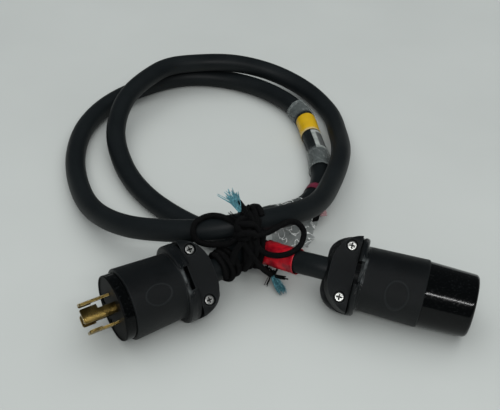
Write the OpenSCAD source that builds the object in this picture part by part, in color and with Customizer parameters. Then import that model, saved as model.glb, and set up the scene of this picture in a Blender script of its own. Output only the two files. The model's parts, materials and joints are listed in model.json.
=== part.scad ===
// Heavy duty four-wire cord set: a locking plug, a locking connector and the rubber cable between them.
// Device frames: x = 0 at the face, +X out of the mouth, +Z out of the clamp strap, +Y across.

/* [Cable] */
// Outer diameter of the rubber cable
cable_d = 16; // [15:0.1:16.2]
// Radial gap between the cable and the clamp, the throat and the housings
cable_gap = 0.3; // [0.2:0.05:0.6]
// Diameter of one insulated conductor
wire_d = 3.4; // [3:0.1:3.6]
// Diameter of the bare copper under a terminal plate
copper_d = 2.2; // [1.8:0.1:2.4]

/* [Device fronts] */
// Diameter of the plug face
plug_face_d = 44.6; // [43:0.2:46]
// Length of the glossy collar of the plug
plug_collar_l = 7.3; // [6:0.1:9]
// Diameter of the connector mouth
barrel_mouth_d = 42.8; // [42:0.2:44]
// Diameter of the connector barrel where it meets the housing
barrel_root_d = 44.8; // [44:0.2:45.4]
// Length of the connector barrel
barrel_l = 33.4; // [31:0.2:36]
// Height of the raised rim round the plug face
rim_h = 0.6; // [0.4:0.1:1]
// Width of the raised rim
rim_w = 1.05; // [0.8:0.05:1.4]
// Radius of the rounded barrel mouth
mouth_round = 2.6; // [1:0.1:3]
// Diameter of both front bodies inside the housings
core_d = 41.2; // [40:0.2:41.6]
// Depth of the plug front body behind its face
plug_core_l = 26; // [25:0.5:28]
// Depth of the connector front body behind its face
connector_core_l = 53; // [52:0.5:56]

/* [Housings] */
// Diameter of the plug housing at its front edge
plug_shell_front_d = 48.6; // [48:0.2:50]
// Diameter of the plug housing at the shoulder
plug_shell_rear_d = 45; // [44.6:0.2:46]
// Length of the plug housing from front edge to shoulder
plug_shell_l = 36.2; // [34:0.2:40]
// Diameter of the connector housing at its front edge
connector_shell_front_d = 46.4; // [46:0.2:48]
// Diameter of the connector housing at the shoulder
connector_shell_rear_d = 44; // [43.6:0.2:45]
// Length of the connector housing from front edge to shoulder
connector_shell_l = 42; // [40:0.5:46]
// Radius of the two rounds of the oval shoulder
shoulder_r = 22; // [21.5:0.1:23]
// Half the distance between the two rounds of the shoulder
shoulder_offset = 5; // [4:0.2:6]
// Length of the plug shoulder
plug_shoulder_l = 9; // [8:0.2:11]
// Length of the connector shoulder
connector_shoulder_l = 4.6; // [4.4:0.2:6]
// Edge rounding of the shoulders
shoulder_round = 2; // [1:0.1:2.1]
// Rounding of the front edge of the housings
shell_round = 1; // [0.5:0.1:1.4]
// Length of the window in front of the strap, plug
plug_window_l = 5.5; // [4.5:0.1:6]
// Length of the window in front of the strap, connector
connector_window_l = 4.2; // [3:0.1:4.3]
// Width of the window
window_w = 16; // [12:0.5:20]
// Radius of the rounded rib at the front wall of the window
rib_r = 1.8; // [1:0.1:2]
// Height of the rib above the floor of the window
rib_lift = 3.4; // [2:0.2:4]

/* [Cord clamp] */
// Length of the cord clamp along the cable
clamp_l = 20.6; // [19:0.2:22]
// How far the rear edge of the strap leans forward over its height
strap_lean = 5.2; // [3:0.2:6]
// Height of the strap above the cable axis
strap_top = 13.5; // [13:0.1:14.5]
// Depth of the fixed saddle below the cable axis
saddle_bottom = 17; // [16:0.2:19]
// Open gap between strap and saddle
jaw_gap = 2; // [1:0.1:3]
// Rounding of the outer long edges of the strap
jaw_round = 6; // [4:0.2:7]
// Half width of the flat rear end of the strap
strap_tail = 5; // [3:0.5:8]
// Half width of the flat rear end of the saddle
saddle_tail = 12; // [8:0.5:14]
// Gap between the shoulder and the strap
strap_gap = 0.6; // [0.4:0.1:1]
// Distance between the two clamp screws
clamp_pitch = 35.6; // [34.6:0.1:36.2]
// Place of the clamp screws behind the front edge of the strap
clamp_screw_x = 6.2; // [5.8:0.1:7]
// Diameter of the clamp screws
clamp_screw_d = 4.1; // [3.8:0.1:4.4]
// Length of the clamp screws under the head
clamp_screw_l = 22; // [20:0.5:24]
// Diameter of the clamp screw heads
clamp_head_d = 6.5; // [6:0.1:7]
// Height of the clamp screw heads
clamp_head_h = 2.4; // [2:0.1:2.6]
// Depth of the counterbore over a clamp screw head
counterbore_h = 3; // [2.8:0.1:3.4]

/* [Poles] */
// Diameter of the circle on which the blades stand
pole_circle_d = 19.8; // [19.4:0.1:20.2]
// Thickness of the blades
blade_t = 1.5; // [1.3:0.05:1.7]
// Width of a blade
blade_w = 7; // [6.4:0.1:7.4]
// Free length of the current blades
blade_l = 19.5; // [18:0.5:21]
// Free length of the ground blade
ground_l = 22; // [20:0.5:23]
// Reach of the locking hook of the ground blade
hook_w = 2.8; // [2:0.1:3]
// Reach of the locking hook of the current blades
small_hook_w = 1.2; // [0.8:0.1:1.6]
// Distance of the hooks from the face
hook_x = 10.6; // [9:0.2:12]
// Width of the slots in the connector face, across the blade
slot_t = 2.2; // [2:0.05:2.5]
// Half length of the slots in the connector face
slot_half = 5.6; // [5.3:0.1:5.8]
// Diameter of the terminal screws
terminal_d = 3.8; // [3.4:0.1:4]
// Side of the square terminal plates
plate_w = 8; // [7.6:0.1:8.2]
// Thickness of the terminal plates
plate_t = 1.5; // [1.2:0.1:1.8]
// Diameter of the assembly screws
assembly_d = 3; // [2.6:0.1:3.2]

/* [Lace and tape] */
// Diameter of the lace
lace_d = 3.2; // [2.8:0.1:3.3]
// Thickness of the tapes
tape_t = 0.3; // [0.2:0.05:0.4]

/* [Hidden] */

$fn = 64;
fit = 0.05;
eps = 0.1;

// Where the two devices lie, and how they are turned
plug_pos = [-108.87, -26.45, 24.25];
plug_turn = [-40, 1.2, -146.7];
connector_pos = [127.4, 0.56, 21.39];
connector_turn = [40, 3, -12.6];

// Poles, turned about the device axis from the clamp side
ground_pole = 0;
neutral_pole = 90;
line_1_pole = 180;
line_2_pole = 270;
all_poles = [ground_pole, neutral_pole, line_1_pole, line_2_pole];

pole_r = pole_circle_d / 2;
core_r = core_d / 2;
throat_r = cable_d / 2 + cable_gap;
cavity_r = 14.9;

// Stations along the plug
plug_shoulder_x = -plug_collar_l - plug_shell_l;
plug_saddle_x = plug_shoulder_x - plug_shoulder_l;
plug_clamp_x = plug_saddle_x - strap_gap;
plug_jacket_x = plug_saddle_x + 6.5;
plug_screw_x = -plug_core_l + 10;

// Stations along the connector
connector_shoulder_x = -barrel_l - connector_shell_l;
connector_saddle_x = connector_shoulder_x - connector_shoulder_l;
connector_clamp_x = connector_saddle_x - strap_gap;
connector_jacket_x = connector_saddle_x + 7.6;
connector_screw_x = -connector_core_l + 11;

// Terminal stack, outwards from the blade
shank_r = pole_r + blade_t / 2;
plate_r = shank_r + copper_d;
head_r = plate_r + plate_t;
terminal_head_d = 6.8;
terminal_head_h = 2.4;
shank_reach = 6;
pocket_w = 9.6;
pocket_floor = pole_r - 3;
pocket_reach = 16.1;
wire_side = terminal_d / 2 + copper_d / 2 + fit;

assembly_y = 8;
assembly_z = -15;
assembly_head_d = 5.6;
assembly_head_h = 2;
assembly_sink = 3.4;
assembly_grip = 9;

// ---- shapes shared by both devices ----

module place_plug() translate(plug_pos) rotate(plug_turn) children();
module place_connector() translate(connector_pos) rotate(connector_turn) children();

// Revolves a profile of [radius, station] points about the device axis
module turned(points) rotate([0, 90, 0]) rotate_extrude($fn = 96) polygon(points);

// A bar along the device axis between two stations
module bar(x0, x1, r, n = 64) translate([x0, 0, 0]) rotate([0, 90, 0]) cylinder(h = x1 - x0, r = r, $fn = n);

// Points of a quarter round, centre c, from angle a0 to a1
function arc(c, r, a0, a1, n = 6) = [for (i = [0:n]) c + r * [cos(a0 + (a1 - a0) * i / n),
    sin(a0 + (a1 - a0) * i / n)]];

// Oval block with rounded edges between two stations
module oval_block(x0, x1) {
    profile = concat([[0, x0]], arc([shoulder_r - shoulder_round, x0 + shoulder_round], shoulder_round, -90, 0),
        arc([shoulder_r - shoulder_round, x1 - shoulder_round], shoulder_round, 0, 90), [[0, x1]]);
    for (side = [-1, 1])
        translate([0, side * shoulder_offset, 0]) turned(profile);
    for (side = [0, 1])
        mirror([0, 0, side])
            translate([0, shoulder_offset, 0])
                rotate([90, 0, 0])
                    linear_extrude(2 * shoulder_offset)
                        polygon([for (p = profile) [p[1], p[0]]]);
}

// Plan outline of one clamp half: straight front edge, elliptical rear round a flat end
strap_half = shoulder_offset + shoulder_r;
module clamp_plan(tail) {
    rear = [for (i = [0:12]) [-clamp_l * sin(i * 7.5), tail + (strap_half - tail) * cos(i * 7.5)]];
    polygon(concat([[clamp_l, strap_half]], rear, [for (i = [12:-1:0]) [rear[i][0], -rear[i][1]]],
        [[clamp_l, -strap_half]]));
}

// Cross section of the strap: flat against the gap, rounded outer edges
module jaw_section(h) {
    translate([-strap_half, 0]) square([2 * strap_half, h - jaw_round]);
    translate([-strap_half + jaw_round, 0]) square([2 * (strap_half - jaw_round), h]);
    for (side = [-1, 1])
        translate([side * (strap_half - jaw_round), h - jaw_round]) circle(jaw_round);
}

// Cross section of the saddle: the lower part of the shoulder's oval
module saddle_section() {
    intersection() {
        union() {
            for (side = [-1, 1])
                translate([side * shoulder_offset, 0]) circle(shoulder_r, $fn = 96);
            square([2 * shoulder_offset, 2 * shoulder_r], center = true);
        }
        translate([-strap_half, -saddle_bottom]) square([2 * strap_half, saddle_bottom - jaw_gap / 2]);
    }
}

// Extrudes a cross section along the device axis between two stations
module along(x0, x1)
    translate([x0, 0, 0]) rotate([90, 0, 90]) linear_extrude(x1 - x0) children();

module at_clamp_screw(clamp_x, side) translate([clamp_x - clamp_screw_x, side * clamp_pitch / 2, 0]) children();

module clamp_strap(clamp_x) {
    seat_z = strap_top - counterbore_h;
    difference() {
        intersection() {
            // the rear edge leans forward with the whole outline
            translate([clamp_x, 0, 0])
                rotate([0, atan(strap_lean / strap_top), 0])
                    linear_extrude(2 * strap_top) clamp_plan(strap_tail);
            along(clamp_x - clamp_l, clamp_x)
                translate([0, jaw_gap / 2]) jaw_section(strap_top - jaw_gap / 2);
        }
        bar(clamp_x - clamp_l - 1, clamp_x + 1, throat_r);
        for (side = [-1, 1])
            at_clamp_screw(clamp_x, side) {
                cylinder(h = strap_top, d = clamp_screw_d + 2 * fit);
                translate([0, 0, seat_z]) cylinder(h = counterbore_h + 1, d = clamp_head_d + 2);
            }
    }
}

module clamp_screw(clamp_x, side) {
    seat_z = strap_top - counterbore_h;
    dome = 0.7;
    at_clamp_screw(clamp_x, side)
        translate([0, 0, seat_z])
            difference() {
                union() {
                    translate([0, 0, -clamp_screw_l]) cylinder(h = clamp_screw_l + eps, d = clamp_screw_d);
                    rotate_extrude()
                        polygon(concat([[0, 0], [clamp_head_d / 2, 0]],
                            arc([clamp_head_d / 2 - dome, clamp_head_h - dome], dome, 0, 90), [[0, clamp_head_h]]));
                }
                for (turn = [0, 90])
                    rotate([0, 0, turn])
                        translate([-2, -0.45, clamp_head_h - 1.3]) cube([4, 0.9, 2]);
            }
}

// Fixed half of the clamp, behind the shoulder
module clamp_saddle(saddle_x) {
    clamp_x = saddle_x - strap_gap;
    difference() {
        union() {
            intersection() {
                translate([clamp_x, 0, -saddle_bottom]) linear_extrude(saddle_bottom) clamp_plan(saddle_tail);
                along(clamp_x - clamp_l, clamp_x) saddle_section();
            }
            along(clamp_x, saddle_x + eps) saddle_section();
        }
        for (side = [-1, 1])
            at_clamp_screw(clamp_x, side)
                translate([0, 0, strap_top - counterbore_h - clamp_screw_l - 1])
                    cylinder(h = clamp_screw_l + 1, d = clamp_screw_d + 2 * fit);
    }
}

// Room for the conductors between front body and jacket, and the socket of the front body
module shell_cavity(front_x, core_x, jacket_x, saddle_x) {
    turned([[0, front_x + 1], [core_r + fit, front_x + 1], [core_r + fit, core_x], [cavity_r, core_x],
        [throat_r, jacket_x + 1], [throat_r, saddle_x - clamp_l - 5], [0, saddle_x - clamp_l - 5]]);
    for (side = [-1, 1])
        translate([0, side * assembly_y, assembly_z])
            bar(core_x - assembly_grip - 1, core_x + 1, assembly_d / 2 + fit);
}

// Opening in front of the strap, with a rounded rib left standing across its front wall
module window(saddle_x, length) {
    floor_z = throat_r - cable_gap;
    difference() {
        translate([saddle_x - eps, -window_w / 2, floor_z]) cube([length + eps, window_w, shoulder_r]);
        translate([saddle_x + length, window_w / 2 + 1, floor_z + rib_r + rib_lift])
            rotate([90, 0, 0]) cylinder(h = window_w + 2, r = rib_r);
    }
}

module assembly_screws(core_x) {
    for (side = [-1, 1])
        translate([0, side * assembly_y, assembly_z])
            difference() {
                union() {
                    bar(core_x - assembly_grip, -assembly_sink, assembly_d / 2);
                    bar(-assembly_sink, -assembly_sink + assembly_head_h, assembly_head_d / 2);
                }
                translate([-assembly_sink + assembly_head_h - 1, -assembly_head_d, -0.4])
                    cube([2, 2 * assembly_head_d, 0.8]);
            }
}

module assembly_holes(core_x) {
    for (side = [-1, 1])
        translate([0, side * assembly_y, assembly_z]) {
            bar(core_x - 1, 1, assembly_d / 2 + fit);
            bar(-assembly_sink, 1, assembly_head_d / 2 + 0.3);
        }
}

// A plate bent to the pole circle, cut to the outline given as a child (axial, tangential)
module bent_plate(r0, r1) {
    intersection() {
        difference() {
            rotate([0, 90, 0]) cylinder(h = 200, r = r1, center = true, $fn = 96);
            rotate([0, 90, 0]) cylinder(h = 202, r = r0, center = true, $fn = 96);
        }
        linear_extrude(2 * r1) children();
    }
}

// Outline of a blade with its locking hook, shank included
module blade_outline(length, hook, shank_x) {
    half = blade_w / 2;
    cut = 0.9;
    polygon([[shank_x, -half], [hook_x, -half], [hook_x, -half - hook], [length - cut, -half - hook],
        [length, -half - hook + cut], [length, half - cut], [length - cut, half], [shank_x, half]]);
}

module blade(pole, length, hook) {
    rotate([pole, 0, 0])
        difference() {
            bent_plate(pole_r - blade_t / 2, pole_r + blade_t / 2)
                blade_outline(length, hook, plug_screw_x - shank_reach);
            translate([plug_screw_x, 0, 0]) cylinder(h = head_r, d = terminal_d + 2 * fit);
        }
}

// Slot for a blade shank or a contact tab, with its clearance
module shank_slot(x0, x1) {
    bent_plate(pole_r - blade_t / 2 - fit, pole_r + blade_t / 2 + fit)
        translate([x0, -blade_w / 2 - fit]) square([x1 - x0, blade_w + 2 * fit]);
}

// Pocket for one terminal, open to the side and to the rear
module terminal_pocket(core_x) {
    translate([core_x - 1, -pocket_w / 2, pocket_floor]) cube([pocket_reach + 1, pocket_w, core_r]);
}

module terminal_screw(screw_x) {
    tip = pocket_floor + 0.4;
    translate([screw_x, 0, 0])
        difference() {
            union() {
                translate([0, 0, tip]) cylinder(h = head_r - tip + eps, d = terminal_d);
                translate([0, 0, head_r]) cylinder(h = terminal_head_h, d = terminal_head_d);
            }
            translate([-terminal_head_d, -0.5, head_r + terminal_head_h - 1.1]) cube([2 * terminal_head_d, 1, 2]);
        }
}

module terminal_plate(screw_x) {
    difference() {
        translate([screw_x - plate_w / 2, -plate_w / 2, plate_r]) cube([plate_w, plate_w, plate_t]);
        translate([screw_x, 0, 0]) cylinder(h = head_r + 1, d = terminal_d + 2 * fit);
    }
}

// A round rod between two points, with a slightly larger ball at its end
module rod(p, q, r) {
    v = q - p;
    translate(p)
        rotate([0, acos(v[2] / norm(v)), atan2(v[1], v[0])]) cylinder(h = norm(v), r = r, $fn = 24);
    translate(q) sphere(r + fit, $fn = 24);
}

// A conductor from the end of the jacket to its terminal, in the frame of its pole
module conductor(screw_x, core_x, jacket_x) {
    nest = wire_d * 0.95;
    seat = [screw_x + plate_w / 2, wire_side, plate_r - copper_d / 2 - fit / 2];
    bare = [core_x + 3, wire_side, seat[2]];
    entry = [core_x - 1.2, wire_side, seat[2]];
    rod([jacket_x, 0, nest], [jacket_x + 2.5, 0, nest], wire_d / 2);
    rod([jacket_x + 2.5, 0, nest], entry, wire_d / 2);
    rod(entry, bare - [1.5, 0, 0], wire_d / 2);
    rod(entry, [seat[0], seat[1], seat[2]], copper_d / 2);
}

module wire(pole, screw_x, core_x, jacket_x) rotate([pole, 0, 0]) conductor(screw_x, core_x, jacket_x);

// ---- plug ----

module plug_housing() {
    front_r = plug_shell_front_d / 2;
    rear_r = plug_shell_rear_d / 2;
    color([0.11, 0.12, 0.13])
        place_plug()
            difference() {
                union() {
                    turned(concat([[0, plug_shoulder_x - 1], [rear_r, plug_shoulder_x - 1], [rear_r, plug_shoulder_x]],
                        arc([front_r - shell_round, -plug_collar_l - shell_round], shell_round, 0, 90),
                        [[0, -plug_collar_l]]));
                    oval_block(plug_saddle_x, plug_shoulder_x);
                    clamp_saddle(plug_saddle_x);
                }
                shell_cavity(-plug_collar_l, -plug_core_l, plug_jacket_x, plug_saddle_x);
                window(plug_saddle_x, plug_window_l);
            }
}

module plug_front_body() {
    face_r = plug_face_d / 2;
    color([0.05, 0.05, 0.055])
        place_plug()
            difference() {
                turned([[0, -plug_core_l], [core_r, -plug_core_l], [core_r, -plug_collar_l],
                    [face_r, -plug_collar_l], [face_r, -rim_h], [face_r - 0.3, 0], [face_r - rim_w, 0],
                    [face_r - rim_w, -rim_h], [0, -rim_h]]);
                assembly_holes(-plug_core_l);
                for (pole = all_poles)
                    rotate([pole, 0, 0]) {
                        terminal_pocket(-plug_core_l);
                        shank_slot(-plug_core_l, 1);
                    }
                // narrow crescents inside the rim
                for (crescent = [[32, 24], [-58, 18]])
                    rotate([0, 90, 0])
                        rotate([0, 0, 180 + crescent[0]])
                            rotate_extrude(angle = crescent[1])
                                translate([face_r - rim_w - 1.6, -rim_h - 2]) square([1.1, 3]);
            }
}

module plug_blade(pole, length, hook) color([0.62, 0.5, 0.2]) place_plug() blade(pole, length, hook);
module plug_blade_ground() plug_blade(ground_pole, ground_l, hook_w);
module plug_blade_neutral() plug_blade(neutral_pole, blade_l, small_hook_w);
module plug_blade_line_1() plug_blade(line_1_pole, blade_l, small_hook_w);
module plug_blade_line_2() plug_blade(line_2_pole, blade_l, small_hook_w);

module plug_terminal_screws() {
    color([0.75, 0.72, 0.6])
        place_plug()
            for (pole = all_poles)
                rotate([pole, 0, 0]) terminal_screw(plug_screw_x);
}

module plug_terminal_plates() {
    color([0.7, 0.6, 0.3])
        place_plug()
            for (pole = all_poles)
                rotate([pole, 0, 0]) terminal_plate(plug_screw_x);
}

module plug_assembly_screws() color([0.7, 0.7, 0.7]) place_plug() assembly_screws(-plug_core_l);
module plug_clamp_strap() color([0.1, 0.11, 0.12]) place_plug() clamp_strap(plug_clamp_x);
module plug_clamp_screw_1() color([0.7, 0.7, 0.68]) place_plug() clamp_screw(plug_clamp_x, -1);
module plug_clamp_screw_2() color([0.7, 0.7, 0.68]) place_plug() clamp_screw(plug_clamp_x, 1);

module plug_wire(pole) place_plug() wire(pole, plug_screw_x, -plug_core_l, plug_jacket_x);
module plug_wire_black() color([0.08, 0.08, 0.08]) plug_wire(line_1_pole);
module plug_wire_red() color([0.7, 0.08, 0.08]) plug_wire(line_2_pole);
module plug_wire_white() color([0.9, 0.9, 0.88]) plug_wire(neutral_pole);
module plug_wire_green() color([0.1, 0.45, 0.2]) plug_wire(ground_pole);

// ---- connector ----

module connector_housing() {
    front_r = connector_shell_front_d / 2;
    rear_r = connector_shell_rear_d / 2;
    color([0.11, 0.12, 0.13])
        place_connector()
            difference() {
                union() {
                    turned(concat([[0, connector_shoulder_x - 1], [rear_r, connector_shoulder_x - 1],
                        [rear_r, connector_shoulder_x]],
                        arc([front_r - shell_round, -barrel_l - shell_round], shell_round, 0, 90),
                        [[0, -barrel_l]]));
                    oval_block(connector_saddle_x, connector_shoulder_x);
                    clamp_saddle(connector_saddle_x);
                }
                shell_cavity(-barrel_l, -connector_core_l, connector_jacket_x, connector_saddle_x);
                window(connector_saddle_x, connector_window_l);
            }
}

// Contacts: two bent leaves, a base and a tab that carries the terminal
leaf_t = 0.9;
leaf_gap = slot_t / 2;
leaf_half = blade_w / 2 + 0.5;
contact_front = -5;
contact_base = -26;
base_t = 2;
chamber_gap = 0.3;

module contact(pole) {
    rotate([pole, 0, 0])
        difference() {
            union() {
                for (r = [pole_r - leaf_gap - leaf_t, pole_r + leaf_gap])
                    bent_plate(r, r + leaf_t)
                        translate([contact_base - base_t, -leaf_half])
                            square([contact_front - contact_base + base_t, 2 * leaf_half]);
                bent_plate(pole_r - leaf_gap - leaf_t / 2, pole_r + leaf_gap + leaf_t / 2)
                    translate([contact_base - base_t, -leaf_half]) square([base_t, 2 * leaf_half]);
                bent_plate(pole_r - blade_t / 2, pole_r + blade_t / 2)
                    translate([connector_screw_x - shank_reach, -blade_w / 2])
                        square([contact_base - base_t / 2 - connector_screw_x + shank_reach, blade_w]);
            }
            translate([connector_screw_x, 0, 0]) cylinder(h = head_r, d = terminal_d + 2 * fit);
        }
}

// The terminal block ends a little in front of its pockets, and the barrel sits on it
block_front = -connector_core_l + pocket_reach + 1.2;

module connector_terminal_block() {
    color([0.2, 0.2, 0.19])
        place_connector()
            difference() {
                bar(-connector_core_l, block_front, core_r, 96);
                assembly_holes(-connector_core_l);
                for (pole = all_poles)
                    rotate([pole, 0, 0]) {
                        terminal_pocket(-connector_core_l);
                        shank_slot(-connector_core_l, contact_base);
                    }
            }
}

module connector_front_body() {
    mouth_r = barrel_mouth_d / 2;
    root_r = barrel_root_d / 2;
    inner = pole_r - leaf_gap - leaf_t - chamber_gap;
    outer = pole_r + leaf_gap + leaf_t + chamber_gap;
    color([0.04, 0.04, 0.045])
        place_connector()
            difference() {
                turned(concat([[0, block_front], [core_r, block_front], [core_r, -barrel_l],
                    [root_r, -barrel_l]], arc([mouth_r - mouth_round, -mouth_round], mouth_round, 0, 90), [[0, 0]]));
                assembly_holes(-connector_core_l);
                for (pole = all_poles)
                    rotate([pole, 0, 0]) {
                        shank_slot(block_front - 1, contact_base);
                        bent_plate(inner, outer)
                            translate([contact_base - base_t, -leaf_half - chamber_gap])
                                square([-3 - contact_base + base_t, 2 * (leaf_half + chamber_gap)]);
                        bent_plate(pole_r - slot_t / 2, pole_r + slot_t / 2)
                            translate([-4, -slot_half - (pole == ground_pole ? 1 : 0)])
                                square([6, 2 * slot_half + (pole == ground_pole ? 1 : 0)]);
                    }
            }
}

module connector_contact(pole) color([0.62, 0.5, 0.2]) place_connector() contact(pole);
module connector_contact_ground() connector_contact(ground_pole);
module connector_contact_neutral() connector_contact(neutral_pole);
module connector_contact_line_1() connector_contact(line_1_pole);
module connector_contact_line_2() connector_contact(line_2_pole);

module connector_terminal_screws() {
    color([0.75, 0.72, 0.6])
        place_connector()
            for (pole = all_poles)
                rotate([pole, 0, 0]) terminal_screw(connector_screw_x);
}

module connector_terminal_plates() {
    color([0.7, 0.6, 0.3])
        place_connector()
            for (pole = all_poles)
                rotate([pole, 0, 0]) terminal_plate(connector_screw_x);
}

module connector_assembly_screws() color([0.7, 0.7, 0.7]) place_connector() assembly_screws(-connector_core_l);
module connector_clamp_strap() color([0.1, 0.11, 0.12]) place_connector() clamp_strap(connector_clamp_x);
module connector_clamp_screw_1() color([0.7, 0.7, 0.68]) place_connector() clamp_screw(connector_clamp_x, -1);
module connector_clamp_screw_2() color([0.7, 0.7, 0.68]) place_connector() clamp_screw(connector_clamp_x, 1);

module connector_wire(pole)
    place_connector() wire(pole, connector_screw_x, -connector_core_l, connector_jacket_x);
module connector_wire_black() color([0.08, 0.08, 0.08]) connector_wire(line_1_pole);
module connector_wire_red() color([0.7, 0.08, 0.08]) connector_wire(line_2_pole);
module connector_wire_white() color([0.9, 0.9, 0.88]) connector_wire(neutral_pole);
module connector_wire_green() color([0.1, 0.45, 0.2]) connector_wire(ground_pole);

// ---- cable ----

// A device's own point in the part's frame, turned about X, then Y, then Z
function about_x(a, p) = [p[0], p[1] * cos(a) - p[2] * sin(a), p[1] * sin(a) + p[2] * cos(a)];
function about_y(a, p) = [p[0] * cos(a) + p[2] * sin(a), p[1], p[2] * cos(a) - p[0] * sin(a)];
function about_z(a, p) = [p[0] * cos(a) - p[1] * sin(a), p[0] * sin(a) + p[1] * cos(a), p[2]];
function in_place(pos, turn, p) = pos + about_z(turn[2], about_y(turn[1], about_x(turn[0], p)));
function plug_axis(x) = in_place(plug_pos, plug_turn, [x, 0, 0]);
function connector_axis(x) = in_place(connector_pos, connector_turn, [x, 0, 0]);

// Centre line of the cable between the two clamps, chosen by hand
cable_route = [[-33, 29, 28.5], [-24, 50, 32.4], [-14, 71, 27.5], [0, 89, 17.5], [17, 109.5, 11],
    [29, 137, 9.5], [30, 169, 9.5], [24, 204, 9.5], [14, 243, 9.5], [-12, 273, 9.3], [-48, 292, 8.3],
    [-90, 293, 8.3], [-129, 270, 8.3], [-156, 238, 8.3], [-169, 202, 8.3], [-170, 162, 8.3],
    [-160, 121, 8.5], [-140, 82, 14.5], [-113, 56, 24.5], [-83, 42, 34.5], [-56, 35, 43],
    [-28, 38, 48.5], [-2, 54, 44], [22, 81, 35], [37, 123, 26.5], [46, 167, 21.5], [46, 209, 13],
    [39, 250, 9], [20, 279, 11], [-11, 297, 16.5], [-48, 296, 24.6], [-81, 291, 25.4],
    [-106, 280, 26.2], [-122, 256, 28], [-137, 226, 24.6], [-141, 187, 16], [-130, 151, 9.5],
    [-105, 111, 8.5], [-75, 85, 8.5], [-50, 68, 11.5], [-27, 56, 14.2], [-8, 43, 18.6], [11, 31, 23.5]];
// Places on the route where the lace binds the three runs together
plug_run = 1;
upper_run = 21;
connector_run = 40;

// The ends run straight on the device axes
plug_straight = plug_jacket_x - plug_clamp_x + clamp_l + 6;
connector_straight = connector_jacket_x - connector_clamp_x + clamp_l + 4;
cable_points = concat([for (share = [0, 0.5, 1]) plug_axis(plug_jacket_x - share * plug_straight)],
    cable_route,
    [for (share = [1, 0.5, 0]) connector_axis(connector_jacket_x - share * connector_straight)]);

function unit(v) = v / norm(v);
function mix(a, b, t) = a * (1 - t) + b * t;

// Direction of a point list at point i, weighted by the lengths beside it
function heading(p, i) = i == 0 ? unit(p[1] - p[0])
    : i == len(p) - 1 ? unit(p[i] - p[i - 1])
    : unit(unit(p[i] - p[i - 1]) * norm(p[i + 1] - p[i]) + unit(p[i + 1] - p[i]) * norm(p[i] - p[i - 1]));

// Point of the smooth curve between points i and i + 1
function between(p, i, t) = let (d = norm(p[i + 1] - p[i]), t2 = t * t, t3 = t2 * t)
    (2 * t3 - 3 * t2 + 1) * p[i] + (t3 - 2 * t2 + t) * d * heading(p, i)
    + (3 * t2 - 2 * t3) * p[i + 1] + (t3 - t2) * d * heading(p, i + 1);

// Adds one midpoint to every span longer than the given length
function smooth(p, long_span) = [for (i = [0:len(p) - 1])
    each i < len(p) - 1 && norm(p[min(i + 1, len(p) - 1)] - p[i]) > long_span
        ? [p[i], between(p, i, 0.5)] : [p[i]]];

// Corners of one ring round a centre line point, for n sides
function ring(path, i, r, n, up = [0, 0, 1]) = let (
    t = heading(path, i),
    side = unit(cross(t, up)),
    top = cross(side, t))
    [for (k = [0:n - 1]) let (a = 360 * (k + 0.5) / n) path[i] + r * (cos(a) * side + sin(a) * top)];

// Faces of a closed tube of m rings with n corners each
function tube_faces(m, n) = concat(
    [for (k = [1:n - 2]) [0, k + 1, k]],
    [for (i = [0:m - 2], k = [0:n - 1]) let (a = i * n + k, b = i * n + (k + 1) % n) [a, b, b + n]],
    [for (i = [0:m - 2], k = [0:n - 1]) let (a = i * n + k, b = i * n + (k + 1) % n) [a, b + n, a + n]],
    [for (k = [1:n - 2]) let (z = (m - 1) * n) [z, z + k, z + k + 1]]);

module tube(path, r, n, up = [0, 0, 1])
    polyhedron([for (i = [0:len(path) - 1]) each ring(path, i, r, n, up)], tube_faces(len(path), n));

cable_sides = 12;
cable_r = cable_d / 2 * 1.0175;
cable_path = smooth(cable_points, 33);

module cable_jacket() color([0.12, 0.13, 0.14]) tube(cable_path, cable_r, cable_sides);

// ---- tapes: sleeves that follow the rings of the jacket ----

// Corners round the jacket at a fractional ring number s
function cable_ring(s, r, n = cable_sides) = let (i = min(floor(s), len(cable_path) - 2), f = s - i,
    a = ring(cable_path, i, r, n), b = ring(cable_path, i + 1, r, n))
    [for (k = [0:n - 1]) mix(a[k], b[k], f)];

// Ring numbers of a stretch from s0 to s1
function stretch(s0, s1) = concat([s0], [for (i = [floor(s0) + 1:ceil(s1) - 1]) i], [s1]);

// A closed sleeve of tape on the jacket, raised above it by lift
module sleeve(s0, s1, lift, t = tape_t) {
    n = cable_sides;
    stations = stretch(s0, s1);
    m = len(stations);
    r = cable_r + lift;
    function o(i, k) = i * n + k % n;
    function q(i, k) = m * n + i * n + k % n;
    polyhedron(
        concat([for (s = stations) each cable_ring(s, r + t)], [for (s = stations) each cable_ring(s, r)]),
        [for (k = [0:n - 1]) each concat(
            [[o(0, k), q(0, k), q(0, k + 1)], [o(0, k), q(0, k + 1), o(0, k + 1)],
                [o(m - 1, k), q(m - 1, k + 1), q(m - 1, k)], [o(m - 1, k), o(m - 1, k + 1), q(m - 1, k + 1)]],
            [for (i = [0:m - 2]) each [[o(i, k), o(i, k + 1), o(i + 1, k + 1)], [o(i, k), o(i + 1, k + 1), o(i + 1, k)],
                [q(i, k), q(i + 1, k + 1), q(i, k + 1)], [q(i, k), q(i + 1, k), q(i + 1, k + 1)]]])]);
}

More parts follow.
